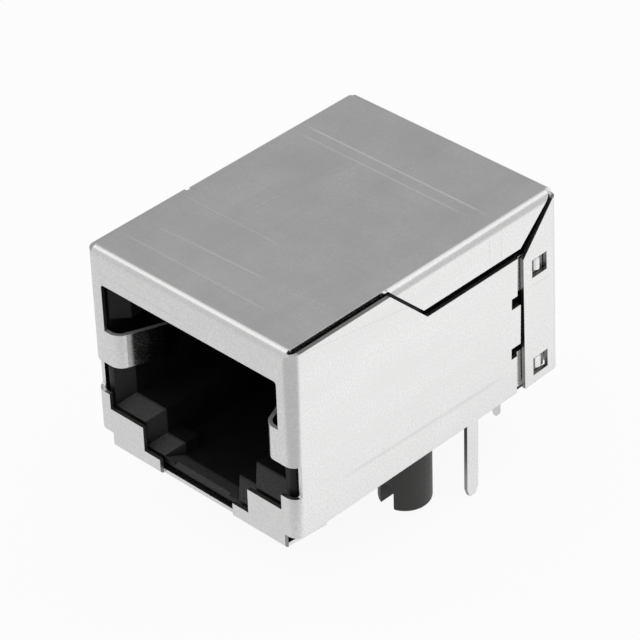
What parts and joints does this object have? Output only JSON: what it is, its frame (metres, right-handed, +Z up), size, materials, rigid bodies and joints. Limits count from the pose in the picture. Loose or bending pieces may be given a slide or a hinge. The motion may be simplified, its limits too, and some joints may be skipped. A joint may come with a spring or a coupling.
{
  "type": "rj45 board jack",
  "caption": "Shielded modular jack for a circuit board: folded tin sheet with ground fingers over a black housing with split posts, spring contacts, coils and solder pins.",
  "frame": {"origin": "midway between the two locating posts, on the board plane", "axes": "+X to the right seen from the plug side, +Y from the plug mouth to the rear, +Z up from the board"},
  "size_m": [0.016, 0.022, 0.0179],
  "materials": {
    "tin_sheet": "satin tin plate",
    "black_plastic": "moulded",
    "natural_plastic": "moulded",
    "gold_plate": "gold plated",
    "tin_pin": "tin plated",
    "board_green": "solder mask",
    "ferrite": "matte",
    "copper": "enamelled wire",
    "chip_dark": "glazed",
    "chip_tan": "matte"
  },
  "bodies": {
    "root": {"capacitor": "chip_tan", "coil_carrier": "natural_plastic", "coil_core_1": "ferrite", "coil_core_2": "ferrite", "coil_core_3": "ferrite", "coil_core_4": "ferrite", "coil_winding_1": "copper", "coil_winding_2": "copper", "coil_winding_3": "copper", "coil_winding_4": "copper", "contact_1": "gold_plate", "contact_2": "gold_plate", "contact_3": "gold_plate", "contact_4": "gold_plate", "contact_5": "gold_plate", "contact_6": "gold_plate", "contact_7": "gold_plate", "contact_8": "gold_plate", "contact_comb": "black_plastic", "housing": "black_plastic", "module_board": "board_green", "pin_base": "black_plastic", "resistor_1": "chip_dark", "resistor_2": "chip_dark", "resistor_3": "chip_dark", "resistor_4": "chip_dark", "shield": "tin_sheet", "signal_pin_1": "tin_pin", "signal_pin_2": "tin_pin", "signal_pin_3": "tin_pin", "signal_pin_4": "tin_pin", "signal_pin_5": "tin_pin", "signal_pin_6": "tin_pin", "signal_pin_7": "tin_pin", "signal_pin_8": "tin_pin"}
  },
  "joints": []
}
